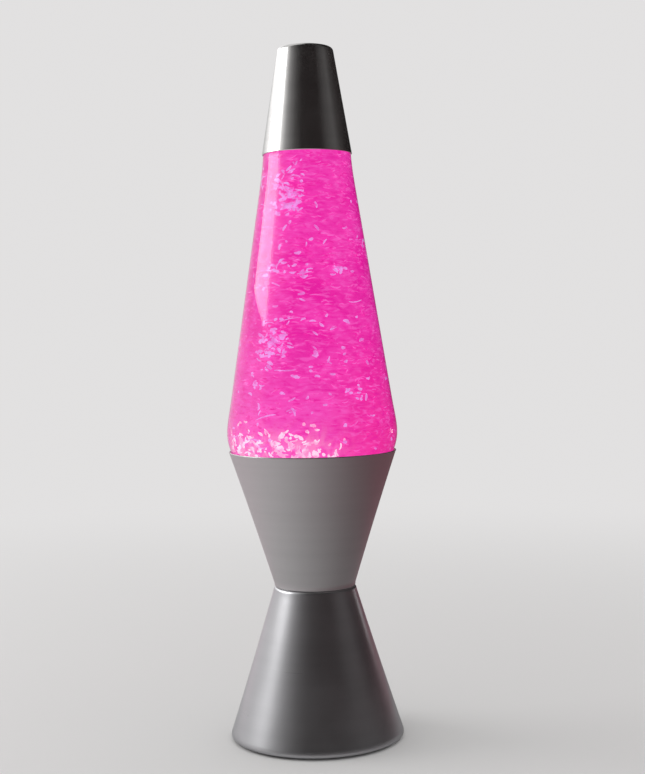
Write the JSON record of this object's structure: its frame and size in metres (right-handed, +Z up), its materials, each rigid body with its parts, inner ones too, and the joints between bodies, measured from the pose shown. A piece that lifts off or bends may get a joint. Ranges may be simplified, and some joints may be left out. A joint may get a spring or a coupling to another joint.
{
  "type": "glitter lava lamp",
  "caption": "Hourglass table lamp: a tapered glass globe of pink glitter liquid on a waisted spun metal base, with a lift-off metal cap and a bulb and socket inside the waist.",
  "frame": {"origin": "centre of the footprint, on the surface that the rubber feet rest on", "axes": "+Z up along the lamp's axis; +Y towards the rear, where the cord bush is; +X to the right seen from the front"},
  "size_m": [0.0928, 0.0928, 0.368],
  "materials": {
    "cap_metal": "satin",
    "cup_metal": "matte",
    "skirt_metal": "satin",
    "globe_glass": "gloss",
    "pink_liquid": "gloss",
    "foil": "gloss",
    "tinplate": "satin",
    "liner": "matte",
    "bulb_glass": "gloss",
    "bulb_shell": "satin",
    "black_glass": "gloss",
    "solder": "satin",
    "wire": "satin",
    "zinc_steel": "satin",
    "porcelain": "gloss",
    "socket_brass": "satin",
    "black_rubber": "matte",
    "black_plastic": "matte",
    "screw_steel": "satin"
  },
  "bodies": {
    "base": {"base_cup": "cup_metal", "base_skirt": "skirt_metal", "socket_bracket": "zinc_steel", "socket_body": "porcelain", "socket_shell": "socket_brass", "socket_contact": "socket_brass", "terminal_screws": "socket_brass", "mounting_nipple": "zinc_steel", "nipple_nut": "zinc_steel", "lock_washer": "zinc_steel", "cord_grommet": "black_rubber", "bottom_plate": "black_plastic", "bottom_plate_screws": "screw_steel", "rubber_feet": "black_rubber"},
    "globe": {"glass_bottle": "globe_glass", "pink_liquid": "pink_liquid", "glitter_flakes": "foil", "crown_cap": "tinplate", "crown_liner": "liner"},
    "cap": {"cap": "cap_metal"},
    "bulb": {"bulb_glass": "bulb_glass", "bulb_base_shell": "bulb_shell", "bulb_insulator": "black_glass", "bulb_tip_contact": "solder", "bulb_stem": "bulb_glass", "bulb_filament": "wire", "bulb_support_wires": "wire"}
  },
  "joints": [
    {"name": "globe_lift", "type": "slide", "parent": "base", "child": "globe", "axis": [0, 0, 1], "range_m": [0, 0.08]},
    {"name": "cap_lift", "type": "slide", "parent": "globe", "child": "cap", "axis": [0, 0, 1], "range_m": [0, 0.07]},
    {"name": "bulb_unscrew", "type": "slide", "parent": "base", "child": "bulb", "axis": [0, 0, 1], "range_m": [0, 0.0095]}
  ]
}
